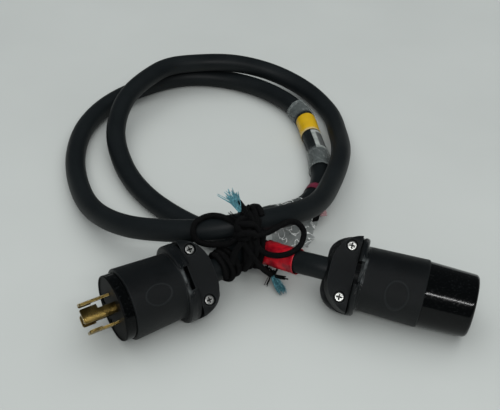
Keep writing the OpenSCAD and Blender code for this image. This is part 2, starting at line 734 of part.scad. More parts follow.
// A patch of tape that covers only the sides k0 to k1 of the jacket
module patch(s0, s1, k0, k1, lift, t = tape_t) {
    stations = stretch(s0, s1);
    m = len(stations);
    c = k1 - k0 + 1;
    n = 2 * c;
    r = cable_r + lift;
    function edge(s) = concat([for (k = [k0:k1]) cable_ring(s, r + t)[k % cable_sides]],
        [for (k = [k1:-1:k0]) cable_ring(s, r)[k % cable_sides]]);
    polyhedron([for (s = stations) each edge(s)],
        concat([for (k = [0:c - 2]) each [[k, n - 1 - k, n - 2 - k], [k, n - 2 - k, k + 1]]],
            [for (i = [0:m - 2], k = [0:n - 1]) let (a = i * n + k, b = i * n + (k + 1) % n)
                each [[a, b, b + n], [a, b + n, a + n]]],
            [for (k = [0:c - 2]) let (z = (m - 1) * n)
                each [[z + k, z + n - 2 - k, z + n - 1 - k], [z + k, z + k + 1, z + n - 2 - k]]]));
}

// Free space under a tape
tape_lift = 0.3;

module yellow_marker_band() color([0.88, 0.68, 0.06]) sleeve(11.12, 12.3, tape_lift);
module white_label() color([0.85, 0.85, 0.83]) patch(9.6, 11.05, 0, 5, tape_lift);
module clear_tape_sleeve() color([0.75, 0.8, 0.8, 0.4]) sleeve(8.6, 13.3, 2 * tape_lift + tape_t);
module clear_tape_wrap() color([0.75, 0.8, 0.8, 0.4]) sleeve(5.4, 6.8, tape_lift);
module red_tape_wrap() color([0.67, 0.04, 0.04]) sleeve(70.9, 72, tape_lift);
module red_marker_band() color([0.67, 0.04, 0.04]) sleeve(7.45, 7.8, tape_lift);

// ---- lace: a winding round the three crossing runs, tied in a bow ----

module lace_colour() color([0.05, 0.05, 0.06]) children();

// The winding lies in upright planes that stand square to this heading
bind_centre = [-25, 44, 0];
bind_heading = 15;
bind_turns = 3;
bind_pitch = lace_d + 0.8;
bind_steps = 24;
bind_lift = 1;
bind_ride = cable_r + lace_d / 2 + bind_lift;
bind_start = 118;
along_bind = [cos(bind_heading), sin(bind_heading), 0];
across_bind = [-sin(bind_heading), cos(bind_heading), 0];

// Where a run passes through the plane at distance s, and how its oval cut leans there
function cut_of(run, s) = let (p = cable_route[run], d = heading(cable_points, run + 3),
    t = (s - (p - bind_centre) * along_bind) / (d * along_bind), q = p + t * d)
    [[(q - bind_centre) * across_bind, q[2]], [d * across_bind, d[2]] / (d * along_bind)];

// How far an oval cut reaches in direction n, and the point of it that reaches furthest
function reach_of(c, n) = let (lean = n * c[1], g = sqrt(1 + lean * lean))
    [c[0] * n + bind_ride * g, c[0] + bind_ride / g * (n + lean * c[1])];

// A taut lace touches the run that reaches furthest
function taut(s, a) = let (n = [cos(a), sin(a)],
    r = [for (run = [plug_run, upper_run, connector_run]) reach_of(cut_of(run, s), n)],
    far = max(r[0][0], r[1][0], r[2][0]))
    [for (q = r) if (q[0] == far) q[1]][0];

bind_winding = [for (i = [0:bind_steps * bind_turns]) let (a = bind_start + 360 * i / bind_steps,
    s = bind_pitch * (i / bind_steps - bind_turns / 2), q = taut(s, a))
    bind_centre + s * along_bind + q[0] * across_bind + [0, 0, q[1]]];

// Leads both ends of a path straight on by the thickness of the lace
function led_out(p) = concat([p[0] + lace_d * unit(p[0] - p[1])], p,
    [p[len(p) - 1] + lace_d * unit(p[len(p) - 1] - p[len(p) - 2])]);
bind_path = led_out(bind_winding);

// The lace also winds round the run from the plug, between these two rings of the jacket
wrap_from = 1.85;
wrap_to = 2.75;
wrap_turns = 3;
wrap_ride = cable_r + lace_d / 2 + 0.3;
wrap_path = led_out([for (i = [0:bind_steps * wrap_turns])
    cable_ring(mix(wrap_from, wrap_to, i / (bind_steps * wrap_turns)), wrap_ride, bind_steps)[i % bind_steps]]);

// An overhand knot: a two by three torus knot, open at one place
knot_centre = [-27, 24.5, 55.5];
knot_lean = 60;
knot_ring = 4.6;
knot_wave = 2.4;
knot_steps = 48;
knot_opening = 50;
function knot_local(i) = let (a = knot_opening + (720 - 2 * knot_opening) * i / knot_steps,
    r = knot_ring + knot_wave * cos(1.5 * a))
    [r * cos(a), r * sin(a), knot_wave * sin(1.5 * a)];
knot_path = led_out([for (i = [0:knot_steps]) knot_centre + about_x(knot_lean, knot_local(i))]);

// Loops and tails of the bow, chosen by hand
bow_left_route = [[-32, 26, 56.5], [-38, 33.5, 58], [-45, 38.5, 57], [-52, 40.5, 55], [-57.5, 37.5, 53.5],
    [-61, 31.5, 51.5], [-62, 27, 47.5], [-59.5, 24.8, 42.5], [-54, 24.8, 39.7], [-46, 24.3, 40], [-38, 22, 43.5],
    [-32, 22, 49]];
bow_right_route = [[-22, 21, 53], [-16, 25, 51], [-9.5, 32, 49], [-3, 38.5, 49], [3.5, 45.5, 47],
    [9.5, 48.5, 43], [13.5, 46.5, 38], [13, 41, 34], [9.5, 33.5, 33.5], [3.5, 28.5, 32.5],
    [-3.5, 27, 31.5], [-10.5, 26, 33], [-16.5, 24.5, 39], [-21, 23, 48]];
upper_tail_route = [[-26, 29.5, 61], [-28.5, 34.5, 63.5], [-32.5, 41, 64.5]];
lower_tail_route = [[-28, 20, 48.5], [-24, 19.5, 41], [-19.5, 21.5, 32], [-15.5, 24, 24], [-12, 27.5, 16.5],
    [-8.5, 30.5, 11], [-5, 32, 7.5]];
upper_core_end = [-40, 54, 63];
lower_core_end = [1.5, 21, 3.5];

lace_r = lace_d / 2;

// Least gap of a tube to itself, between rings that are at least a given number apart
function self_gap(path, r, apart) = min([for (i = [0:len(path) - 1], j = [i + apart:1:len(path) - 1])
    norm(path[i] - path[j])]) - 2 * r;
echo(lashing_gap = self_gap(bind_path, lace_r, 12), wrap_gap = self_gap(wrap_path, lace_r, 12),
    knot_own_gap = self_gap(knot_path, lace_r, 6));

module bow(route) lace_colour() tube(smooth(route, lace_d), lace_r, 8, [0.1, 0.2, 1]);

// Core strands spread out of the cut end of the lace
module core_strands(route, end) {
    p = route[len(route) - 1];
    v = end - p;
    color([0.25, 0.5, 0.53])
        translate(p)
            rotate([0, acos(v[2] / norm(v)), atan2(v[1], v[0])])
                cylinder(h = norm(v), r1 = lace_r * 0.7, r2 = lace_r * 1.6, $fn = 24);
}

module tie_lashing() lace_colour() tube(bind_path, lace_r, 6, along_bind);
module tie_wrap() lace_colour() tube(wrap_path, lace_r, 6, plug_axis(1) - plug_axis(0));
module tie_knot() lace_colour() tube(knot_path, lace_r, 6, about_x(knot_lean, [0, 0, 1]));
module tie_bow_left() bow(bow_left_route);
module tie_bow_right() bow(bow_right_route);
module tie_tail_upper() bow(upper_tail_route);
module tie_tail_lower() bow(lower_tail_route);
module tie_core_upper() core_strands(upper_tail_route, upper_core_end);
module tie_core_lower() core_strands(lower_tail_route, lower_core_end);

plug_housing();
plug_front_body();
plug_blade_ground();
plug_blade_neutral();
plug_blade_line_1();
plug_blade_line_2();
plug_terminal_screws();
plug_terminal_plates();
plug_assembly_screws();
plug_clamp_strap();
plug_clamp_screw_1();
plug_clamp_screw_2();
plug_wire_black();
plug_wire_red();
plug_wire_white();
plug_wire_green();
connector_housing();
connector_front_body();
connector_terminal_block();
connector_contact_ground();
connector_contact_neutral();
connector_contact_line_1();
connector_contact_line_2();
connector_terminal_screws();
connector_terminal_plates();
connector_assembly_screws();
connector_clamp_strap();
connector_clamp_screw_1();
connector_clamp_screw_2();
connector_wire_black();
connector_wire_red();
connector_wire_white();
connector_wire_green();
cable_jacket();
yellow_marker_band();
white_label();
clear_tape_sleeve();
clear_tape_wrap();
red_tape_wrap();
red_marker_band();
tie_lashing();
tie_wrap();
tie_knot();
tie_bow_left();
tie_bow_right();
tie_tail_upper();
tie_tail_lower();
tie_core_upper();
tie_core_lower();
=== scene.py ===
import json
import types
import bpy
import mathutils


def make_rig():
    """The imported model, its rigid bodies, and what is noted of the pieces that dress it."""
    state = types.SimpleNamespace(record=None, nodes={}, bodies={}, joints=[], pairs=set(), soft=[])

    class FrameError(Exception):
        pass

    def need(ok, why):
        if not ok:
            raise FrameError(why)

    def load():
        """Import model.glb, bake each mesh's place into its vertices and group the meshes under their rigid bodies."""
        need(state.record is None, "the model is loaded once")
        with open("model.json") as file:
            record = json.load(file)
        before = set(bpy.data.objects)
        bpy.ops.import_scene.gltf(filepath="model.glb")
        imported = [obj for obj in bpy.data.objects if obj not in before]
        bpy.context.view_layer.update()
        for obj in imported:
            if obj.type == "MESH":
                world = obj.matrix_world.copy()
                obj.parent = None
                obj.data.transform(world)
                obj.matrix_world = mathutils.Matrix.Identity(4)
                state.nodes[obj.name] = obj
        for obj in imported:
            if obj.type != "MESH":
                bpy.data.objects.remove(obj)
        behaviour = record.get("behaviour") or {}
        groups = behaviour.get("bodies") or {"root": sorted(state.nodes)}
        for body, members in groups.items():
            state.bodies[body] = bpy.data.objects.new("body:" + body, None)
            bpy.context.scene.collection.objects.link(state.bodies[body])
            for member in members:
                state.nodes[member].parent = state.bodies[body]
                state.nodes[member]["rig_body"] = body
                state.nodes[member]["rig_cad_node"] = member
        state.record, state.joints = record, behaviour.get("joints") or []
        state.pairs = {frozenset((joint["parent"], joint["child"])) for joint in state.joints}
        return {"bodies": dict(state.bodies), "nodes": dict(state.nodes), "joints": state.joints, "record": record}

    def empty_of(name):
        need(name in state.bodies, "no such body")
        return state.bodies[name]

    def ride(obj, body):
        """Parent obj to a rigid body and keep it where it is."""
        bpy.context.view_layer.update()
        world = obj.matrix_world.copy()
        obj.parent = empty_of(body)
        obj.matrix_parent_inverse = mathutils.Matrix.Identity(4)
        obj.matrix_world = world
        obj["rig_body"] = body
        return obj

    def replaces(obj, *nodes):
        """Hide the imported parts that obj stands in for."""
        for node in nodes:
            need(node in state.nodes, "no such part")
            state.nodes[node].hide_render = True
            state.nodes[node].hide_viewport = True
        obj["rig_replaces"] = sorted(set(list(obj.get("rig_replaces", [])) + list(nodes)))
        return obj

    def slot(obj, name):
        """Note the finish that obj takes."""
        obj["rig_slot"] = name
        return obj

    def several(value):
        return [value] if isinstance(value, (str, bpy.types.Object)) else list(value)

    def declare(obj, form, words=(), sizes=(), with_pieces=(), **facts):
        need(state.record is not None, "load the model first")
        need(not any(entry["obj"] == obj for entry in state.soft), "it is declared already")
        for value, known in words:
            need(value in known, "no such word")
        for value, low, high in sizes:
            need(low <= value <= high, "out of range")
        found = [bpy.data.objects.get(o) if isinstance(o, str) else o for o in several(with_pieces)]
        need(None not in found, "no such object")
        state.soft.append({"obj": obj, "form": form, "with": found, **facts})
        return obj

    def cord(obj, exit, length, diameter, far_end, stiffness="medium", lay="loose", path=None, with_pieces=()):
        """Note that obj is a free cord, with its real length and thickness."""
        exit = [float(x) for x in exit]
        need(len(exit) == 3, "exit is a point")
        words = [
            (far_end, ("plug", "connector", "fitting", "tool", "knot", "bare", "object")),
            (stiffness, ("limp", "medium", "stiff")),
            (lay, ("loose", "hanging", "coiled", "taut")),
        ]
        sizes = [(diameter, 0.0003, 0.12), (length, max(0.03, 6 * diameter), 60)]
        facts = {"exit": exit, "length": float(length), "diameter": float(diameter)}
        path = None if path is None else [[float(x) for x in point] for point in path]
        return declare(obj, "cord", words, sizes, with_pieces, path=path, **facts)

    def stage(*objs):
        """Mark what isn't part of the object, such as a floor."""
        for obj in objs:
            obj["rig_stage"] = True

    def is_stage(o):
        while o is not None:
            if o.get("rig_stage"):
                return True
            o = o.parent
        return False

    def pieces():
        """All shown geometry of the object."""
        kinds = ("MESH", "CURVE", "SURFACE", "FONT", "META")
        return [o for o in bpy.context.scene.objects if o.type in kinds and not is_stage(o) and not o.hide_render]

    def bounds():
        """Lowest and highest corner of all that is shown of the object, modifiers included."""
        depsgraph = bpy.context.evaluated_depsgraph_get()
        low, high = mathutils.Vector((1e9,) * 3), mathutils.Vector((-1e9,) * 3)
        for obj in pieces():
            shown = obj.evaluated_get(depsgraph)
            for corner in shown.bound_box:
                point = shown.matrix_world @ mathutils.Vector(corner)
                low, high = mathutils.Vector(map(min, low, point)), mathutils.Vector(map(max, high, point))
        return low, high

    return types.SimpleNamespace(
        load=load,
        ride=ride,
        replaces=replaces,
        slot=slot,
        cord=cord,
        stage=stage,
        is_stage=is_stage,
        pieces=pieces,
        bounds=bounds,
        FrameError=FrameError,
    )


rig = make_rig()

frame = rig.load()

import bisect
import json
import math
import random

import bmesh
import bpy
from mathutils import Euler, Matrix, Vector, noise

nodes = frame["nodes"]
cad_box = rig.bounds()
mm = 0.001

# ---- Camera ----
# A hand-held camera over the near edge of the table, tipped down and rolled a little.
tip = math.atan2(707, 880)
roll = math.radians(3.8)
level = Vector((1, 0, 0))
sunk = Vector((0, -math.sin(tip), -math.cos(tip)))
right = math.cos(roll) * level - math.sin(roll) * sunk
up = -(math.sin(roll) * level + math.cos(roll) * sunk)
camera = bpy.data.objects.new("camera", bpy.data.cameras.new("camera"))
camera_place = Vector((-0.025, -0.421, 0.434))
camera.data.lens = 63.36
camera.data.sensor_width = 36
turned = Matrix((right, up, right.cross(up))).transposed().to_4x4()
camera.matrix_world = Matrix.Translation(camera_place) @ turned
bpy.context.collection.objects.link(camera)
bpy.context.scene.camera = camera


# ---- Cable ----
# Heavy four-core service cord with an extruded rubber sheath, 16 mm across. It runs from one
# clamp to the other in two loops. The sheath is dull with a faint grain and some dust.
class Link:
    """A socket of a finish that can be used in sums."""

    def __init__(self, finish, socket):
        self.finish, self.socket = finish, socket

    def math(self, operation, a, b=0.0):
        return self.finish.node("ShaderNodeMath", {"operation": operation}, {0: a, 1: b})

    def __add__(self, other):
        return self.math("ADD", self, other)

    def __sub__(self, other):
        return self.math("SUBTRACT", self, other)

    def __mul__(self, other):
        return self.math("MULTIPLY", self, other)

    def __rsub__(self, other):
        return self.math("SUBTRACT", other, self)

    __radd__ = __add__
    __rmul__ = __mul__

    def sine(self):
        return self.math("SINE", self)

    def size(self):
        return self.math("ABSOLUTE", self)

    def over(self, edge, soft):
        """0 below an edge, 1 above it, with a soft step between."""
        return self.finish.node(
            "ShaderNodeMapRange",
            {"interpolation_type": "SMOOTHSTEP"},
            {"Value": self, "From Min": edge - soft, "From Max": edge + soft},
        )


class Finish:
    """A procedural material, built node by node."""

    def __init__(self, name):
        self.material = bpy.data.materials.new(name)
        self.material.use_nodes = True
        self.tree = self.material.node_tree
        self.shader = self.tree.nodes["Principled BSDF"]

    def node(self, kind, settings=None, values=None, out=0):
        """A node with its settings, then the values or links of its sockets."""
        node = self.tree.nodes.new(kind)
        for key, value in (settings or {}).items():
            setattr(node, key, value)
        for key, value in (values or {}).items():
            self.feed(node.inputs[key], value)
        return Link(self, node.outputs[out])

    def feed(self, socket, value):
        if isinstance(value, Link):
            self.tree.links.new(value.socket, socket)
        elif socket.type == "RGBA":
            socket.default_value = (*value, 1)
        else:
            socket.default_value = value

    def place(self):
        return self.node("ShaderNodeTexCoord", out="Object")

    def map(self, axis):
        """The piece's own map: 0 for its first direction, 1 for its second."""
        return self.split(self.node("ShaderNodeTexCoord", out="UV"), axis)

    def grain(self, scale, detail):
        """Cloudy noise between 0 and 1, finer with a larger scale."""
        values = {"Vector": self.place(), "Scale": scale, "Detail": detail}
        return self.node("ShaderNodeTexNoise", {}, values)

    def mix(self, factor, a, b):
        """Colour a where the factor is 0 and colour b where it is 1."""
        return self.node("ShaderNodeMix", {"data_type": "RGBA"}, {0: factor, 6: a, 7: b}, out=2)

    def split(self, vector, axis):
        return self.node("ShaderNodeSeparateXYZ", {}, {0: vector}, out=axis)

    def relief(self, height, depth, strength, base=None):
        """Normals of a fine relief on top of the base normals."""
        values = {"Height": height, "Distance": depth, "Strength": strength}
        if base:
            values["Normal"] = base
        return self.node("ShaderNodeBump", {}, values)

    def rounded(self, radius):
        """Normals that round sharp edges off by a radius."""
        return self.node("ShaderNodeBevel", {"samples": 4}, {"Radius": radius})

    def rim(self, radius):
        """1 along sharp edges, 0 on the flats."""
        flat = self.node("ShaderNodeNewGeometry", out="True Normal")
        both = {0: self.rounded(radius), 1: flat}
        same = self.node("ShaderNodeVectorMath", {"operation": "DOT_PRODUCT"}, both, out="Value")
        return (1 - same).over(0.035, 0.03)

    def shade(self, values):
        for key, value in values.items():
            self.feed(self.shader.inputs[key], value)

    def dress(self, *pieces):
        for piece in pieces:
            if not piece.material_slots:
                piece.data.materials.append(None)
            for slot in piece.material_slots:
                slot.material = self.material


def heading(route, i):
    """Direction of a route at point i, weighted by the lengths beside it."""
    if i == 0:
        return (route[1] - route[0]).normalized()
    if i == len(route) - 1:
        return (route[i] - route[i - 1]).normalized()
    before, after = route[i] - route[i - 1], route[i + 1] - route[i]
    return (before.normalized() * after.length + after.normalized() * before.length).normalized()


def smooth_line(points, step):
    """Points a step apart on the smooth curve through points given in millimetres."""
    route = [Vector(p) * mm for p in points]
    line = []
    for i in range(len(route) - 1):
        gap = (route[i + 1] - route[i]).length
        leave, arrive = heading(route, i) * gap, heading(route, i + 1) * gap
        count = max(1, round(gap / step))
        for t in (k / count for k in range(count)):
            line.append(
                (2 * t**3 - 3 * t**2 + 1) * route[i]
                + (t**3 - 2 * t**2 + t) * leave
                + (3 * t**2 - 2 * t**3) * route[i + 1]
                + (t**3 - t**2) * arrive
            )
    return line + [route[-1]]


def tube(name, lines, radius, roundness):
    """Round tubes with closed ends along lines, as one curve."""
    curve = bpy.data.curves.new(name, "CURVE")
    curve.dimensions = "3D"
    curve.bevel_depth = radius
    curve.bevel_resolution = roundness
    curve.use_fill_caps = True
    for line in lines:
        spline = curve.splines.new("POLY")
        spline.points.add(len(line) - 1)
        for point, place in zip(spline.points, line):
            point.co = (*place, 1)
        spline.use_smooth = True
    piece = bpy.data.objects.new(name, curve)
    bpy.context.collection.objects.link(piece)
    return piece


def laid(place, turn):
    """Where a device lies: its own frame has the face at x = 0 and the clamp strap on +Z."""
    turned = Euler([math.radians(a) for a in turn]).to_matrix().to_4x4()
    return Matrix.Translation(Vector(place) * mm) @ turned


plug_place, plug_turn = (-108.87, -26.45, 24.25), (-40, 1.2, -146.7)
connector_place, connector_turn = (127.4, 0.56, 21.39), (40, 3, -12.6)
plug_frame = laid(plug_place, plug_turn)
connector_frame = laid(connector_place, connector_turn)


def on_plug(x):
    """Place on the plug's axis, at a distance behind its face."""
    return plug_frame @ (Vector((x, 0, 0)) * mm) / mm


def on_connector(x):
    """Place on the connector's axis, at a distance behind its face."""
    return connector_frame @ (Vector((x, 0, 0)) * mm) / mm


cable_route = [
    on_plug(-46), on_plug(-62.85), on_plug(-79.7),
    (-33, 29, 28.5), (-24, 50, 32.4), (-14, 71, 27.5), (0, 89, 17.5), (17, 109.5, 11),
    (29, 137, 9.5), (30, 169, 9.5), (24, 204, 9.5), (14, 243, 9.5), (-12, 273, 9.3),
    (-48, 292, 8.3), (-90, 293, 8.3), (-129, 270, 8.3), (-156, 238, 8.3), (-169, 202, 8.3),
    (-170, 162, 8.3), (-160, 121, 8.5), (-140, 82, 14.5), (-113, 56, 24.5), (-83, 42, 34.5),
    (-56, 35, 43), (-28, 38, 48.5), (-2, 54, 44), (22, 81, 35), (37, 123, 26.5),
    (46, 167, 21.5), (46, 209, 13), (39, 250, 9), (20, 279, 11), (-11, 297, 16.5),
    (-48, 296, 24.6), (-81, 291, 25.4), (-106, 280, 26.2), (-122, 256, 28), (-137, 226, 24.6),
    (-141, 187, 16), (-130, 151, 9.5), (-105, 111, 8.5), (-75, 85, 8.5), (-50, 68, 11.5),
    (-27, 56, 14.2), (-8, 43, 18.6), (11, 31, 23.5),
    on_connector(-105.2), on_connector(-88.8), on_connector(-72.4),
]
cable_r, cable_step = 8 * mm, 0.002
cable_line = smooth_line(cable_route, cable_step)
cable = tube("cable", [cable_line], cable_r, roundness=14)

rubber = Finish("cable_rubber")
dust = rubber.grain(34, 5)
speck = rubber.grain(900, 3).over(0.66, 0.05)
clean_rubber, dusty_rubber = (0.0027, 0.0040, 0.0046), (0.0098, 0.0126, 0.0136)
rubber.shade(
    {
        "Base Color": rubber.mix(dust * 0.7 + speck * 0.5, clean_rubber, dusty_rubber),
        "Roughness": 0.38 + 0.22 * dust,
        "Specular IOR Level": 0.19,
        "Normal": rubber.relief(rubber.grain(1500, 3) + rubber.grain(160, 2), 0.00012, 0.5),
    }
)
rubber.dress(cable)
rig.replaces(cable, "cable_jacket")
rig.slot(cable, "cable_rubber")
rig.ride(cable, "root")
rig.cord(
    cable,
    exit=on_plug(-73.7) * mm,
    length=1.59,
    diameter=0.016,
    far_end="object",
    stiffness="stiff",
    lay="coiled",
)


# ---- Lace ----
# A black braided lace, 4.1 mm across, wound three times round the three runs where they cross,
# three times round the cable beside the plug, and tied in a bow. Its ends have frayed and show
# the pale blue-green core.
def as_mesh(piece):
    """The curve made a mesh, with its map in turns round and metres along."""
    long = piece.data.splines[0].calc_length()
    depth = bpy.context.evaluated_depsgraph_get()
    mesh = bpy.data.meshes.new_from_object(
        piece.evaluated_get(depth), preserve_all_data_layers=True, depsgraph=depth
    )
    solid = bpy.data.objects.new(piece.name + "_mesh", mesh)
    bpy.context.collection.objects.link(solid)
    name = piece.name
    bpy.data.objects.remove(piece)
    solid.name = name
    for corner in mesh.uv_layers[0].data:
        corner.uv.y *= long
    return solid


lace_r, lace_sides = 2.05 * mm, 4
braid_strands, braid_rows = 5, 560
lace_step, fine_step = 0.001, 0.0006
lace = Finish("lace_braid")
around, along = lace.map(0), lace.map(1)
strand_left = ((around * braid_strands + along * braid_rows) * math.tau).sine()
strand_right = ((around * braid_strands - along * braid_rows) * math.tau).sine()
weave = lace.node("ShaderNodeMath", {"operation": "MAXIMUM"}, {0: strand_left, 1: strand_right})
lint = lace.grain(700, 3)
dark_braid, grey_braid = (0.0004, 0.0005, 0.0006), (0.0032, 0.0036, 0.004)
lace.shade(
    {
        "Base Color": lace.mix(weave * 0.3 + lint * 0.4, dark_braid, grey_braid),
        "Roughness": 0.9,
        "Specular IOR Level": 0.06,
        "Sheen Weight": 0.015,
        "Sheen Roughness": 0.6,
        "Normal": lace.relief(weave + 0.5 * lint, 0.00025, 0.9),
    }
)

bind_centre = Vector((-25, 44, 0))
bind_heading = math.radians(15)
bind_turns, bind_pitch, bind_steps, bind_start = 3, 4.25, 48, 118
bound_points = 4, 24, 43
lace_ride = 10.15
along_bind = Vector((math.cos(bind_heading), math.sin(bind_heading), 0))
across_bind = Vector((-math.sin(bind_heading), math.cos(bind_heading), 0))
route_points = [Vector(p) for p in cable_route]
bound_runs = [(route_points[i], heading(route_points, i)) for i in bound_points]


def taut(s, degrees, ride=lace_ride):
    """Where a lace drawn round the runs lies, at distance s along the winding and at an angle.

    Each run is cut by the upright plane at s, and the lace lies on the run that reaches furthest.
    """
    best = None
    n = Vector((math.cos(math.radians(degrees)), math.sin(math.radians(degrees))))
    for place, run in bound_runs:
        t = (s - (place - bind_centre).dot(along_bind)) / run.dot(along_bind)
        cut = place + t * run - bind_centre
        lean = Vector((run.dot(across_bind), run.z)) / run.dot(along_bind)
        g = math.sqrt(1 + n.dot(lean) ** 2)
        reach = Vector((cut.dot(across_bind), cut.z)).dot(n) + ride * g
        if best is None or reach > best[0]:
            touch = Vector((cut.dot(across_bind), cut.z)) + ride / g * (n + n.dot(lean) * lean)
            best = reach, touch
    across, height = best[1]
    return bind_centre + s * along_bind + across * across_bind + Vector((0, 0, height))


lashing_line = smooth_line(
    [
        taut(bind_pitch * (i / bind_steps - bind_turns / 2), bind_start + 360 * i / bind_steps)
        for i in range(bind_steps * bind_turns + 1)
    ],
    lace_step,
)
lashing = as_mesh(tube("tie_lashing_lace", [lashing_line], lace_r, lace_sides))

cable_reach = [0.0]
for a, b in zip(cable_line, cable_line[1:]):
    cable_reach.append(cable_reach[-1] + (b - a).length)


def cable_frame(distance):
    """Place on the cable's centre line, with its side and top directions."""
    i = min(max(bisect.bisect_right(cable_reach, distance) - 1, 0), len(cable_line) - 2)
    share = (distance - cable_reach[i]) / (cable_reach[i + 1] - cable_reach[i])
    place = cable_line[i].lerp(cable_line[i + 1], share)
    run = heading(cable_line, i).lerp(heading(cable_line, i + 1), share).normalized()
    side = run.cross(Vector((0, 0, 1))).normalized()
    return place, side, side.cross(run)


def on_cable(distance, degrees, out):
    """Point that stands out from the cable's centre line at an angle from its side."""
    place, side, top = cable_frame(distance)
    angle = math.radians(degrees)
    return place + out * (math.cos(angle) * side + math.sin(angle) * top)


wrap_turns, wrap_steps, wrap_from, wrap_to = 3, 48, 0.0313, 0.0454
wrap_count = wrap_steps * wrap_turns
wrap_line = smooth_line(
    [
        on_cable(
            wrap_from + (wrap_to - wrap_from) * i / wrap_count, 360 * i / wrap_steps, lace_ride * mm
        ) / mm
        for i in range(wrap_count + 1)
    ],
    lace_step,
)
wrap_lace = as_mesh(tube("tie_wrap_lace", [wrap_line], lace_r, lace_sides))

knot_centre = Vector((-27, 24.5, 55.5))
knot_tilt = Matrix.Rotation(math.radians(60), 3, "X")
knot_ring, knot_wave, knot_twist = 4.6, 2.4, 1.5
knot_first, knot_sweep, knot_steps = 50, 620, 60
fist_r = lace_r * 1.08


def knot_point(angle):
    """Place on the lace's path through the knot, which follows most of a trefoil."""
    r = knot_ring + knot_wave * math.cos(knot_twist * angle)
    rise = knot_wave * math.sin(knot_twist * angle)
    local = Vector((r * math.cos(angle), r * math.sin(angle), rise))
    return knot_centre + knot_tilt @ local


def slung(first, last, s0, s1, lift):
    """A loose turn of lace over the winding, between two angles, standing off it by lift."""
    degrees_a_step, waver, above_table = 8, 0.35, 2.5
    count = round((last - first) / degrees_a_step)
    line = [
        taut(
            s0 + (s1 - s0) * i / count,
            first + (last - first) * i / count,
            lace_ride + lift + waver * math.sin(i * 0.9),
        )
        for i in range(count + 1)
    ]
    for p in line:
        p.z = max(p.z, above_table)
    return smooth_line(line, lace_step)


knot_lines = [
    smooth_line(
        [
            knot_point(math.radians(knot_first + knot_sweep * i / knot_steps))
            for i in range(knot_steps + 1)
        ],
        fine_step,
    ),
    smooth_line(
        [(-33, 25, 49.5), (-31, 20.5, 53.5), (-27, 19, 56.5), (-22.5, 20.5, 55.5), (-21, 24.5, 52)],
        fine_step,
    ),
    smooth_line(
        [(-32, 29, 55), (-30.5, 25, 59), (-26, 23.5, 60.5), (-22, 26, 58.5), (-20.5, 30, 54)],
        fine_step,
    ),
    slung(110, 238, -5.5, 3.0, 2.5),
    slung(132, 250, 3.0, -3.0, 2.8),
    slung(112, 215, 0.5, 1.0, 4.6),
    slung(118, 262, -6.5, -5.5, 1.6),
    slung(168, 255, 4.5, 9.0, 1.0),
    slung(172, 250, 6.5, 5.5, 1.6),
    slung(115, 232, -2.0, -7.0, 3.8),
    slung(112, 172, -4.0, 3.0, 5.0),
    smooth_line([(-34.5, 14.5, 31), (-34, 15, 37), (-32, 17, 43), (-29, 18.5, 49)], fine_step),
]
knot = as_mesh(tube("tie_knot_lace", knot_lines, fist_r, lace_sides))

bow_left_line = smooth_line(
    [(-32, 26, 56.5), (-38, 31.5, 56.5), (-45, 36, 55.5), (-52, 38, 53.5), (-57.5, 35.5, 52.5),
     (-61, 31.5, 51.5), (-62, 27, 47.5), (-59.5, 24.8, 42.5), (-54, 24.8, 39.7), (-46, 24.3, 40),
     (-38, 22, 43.5), (-32, 22, 49)],
    lace_step,
)
bow_right_line = smooth_line(
    [(-22, 21, 53), (-16, 25, 51), (-9.5, 32, 49), (-3, 38.5, 49), (3.5, 45.5, 47), (9.5, 48.5, 43),
     (13.5, 46.5, 38), (13, 41, 34), (9.5, 33.5, 33.5), (3.5, 28.5, 32.5), (-3.5, 27, 31.5),
     (-10.5, 26, 33), (-16.5, 24.5, 39), (-21, 23, 48)],
    lace_step,
)
bow_left = as_mesh(tube("tie_bow_left_lace", [bow_left_line], lace_r, lace_sides))
bow_right = as_mesh(tube("tie_bow_right_lace", [bow_right_line], lace_r, lace_sides))
tail_upper_line = smooth_line([(-26, 29.5, 61), (-28.5, 34.5, 63.5), (-32.5, 41, 64.5)], fine_step)
tail_lower_line = smooth_line(
    [(-28, 20, 48.5), (-24, 19.5, 41), (-19.5, 21.5, 32), (-15.5, 24, 24), (-12, 27.5, 16.5),
     (-8.5, 30.5, 11), (-5, 32, 7.5)],
    lace_step,
)
tail_upper = as_mesh(tube("tie_tail_upper_lace", [tail_upper_line], lace_r, lace_sides))
tail_lower = as_mesh(tube("tie_tail_lower_lace", [tail_lower_line], lace_r, lace_sides))


def strands(name, bundles, seed):
    """Loose strands in bundles of start, end, count, spread and radius, all in millimetres."""
    root_scatter, curl_share, shortest, above_table = 0.9, 0.4, 0.65, 0.5
    strand_step = 0.0015
    chance = random.Random(seed)
    whole = bmesh.new()
    for start, end, count, spread, radius in bundles:
        start, end = Vector(start), Vector(end)
        lines = []
        for _ in range(count):
            drift = Vector([chance.uniform(-1, 1) for _ in range(3)])
            curl = Vector([chance.uniform(-1, 1) for _ in range(3)]) * spread * curl_share
            first = start + drift * root_scatter
            last = start + (end - start) * chance.uniform(shortest, 1.0) + drift * spread
            middle = (first + last) / 2 + curl
            for p in (middle, last):
                p.z = max(p.z, above_table)
            lines.append(smooth_line([first, middle, last], strand_step))
        bundle = as_mesh(tube(name, lines, radius * mm, roundness=1))
        whole.from_mesh(bundle.data)
        bpy.data.objects.remove(bundle)
    mesh = bpy.data.meshes.new(name)
    whole.to_mesh(mesh)
    whole.free()
    piece = bpy.data.objects.new(name, mesh)
    bpy.context.collection.objects.link(piece)
    return piece


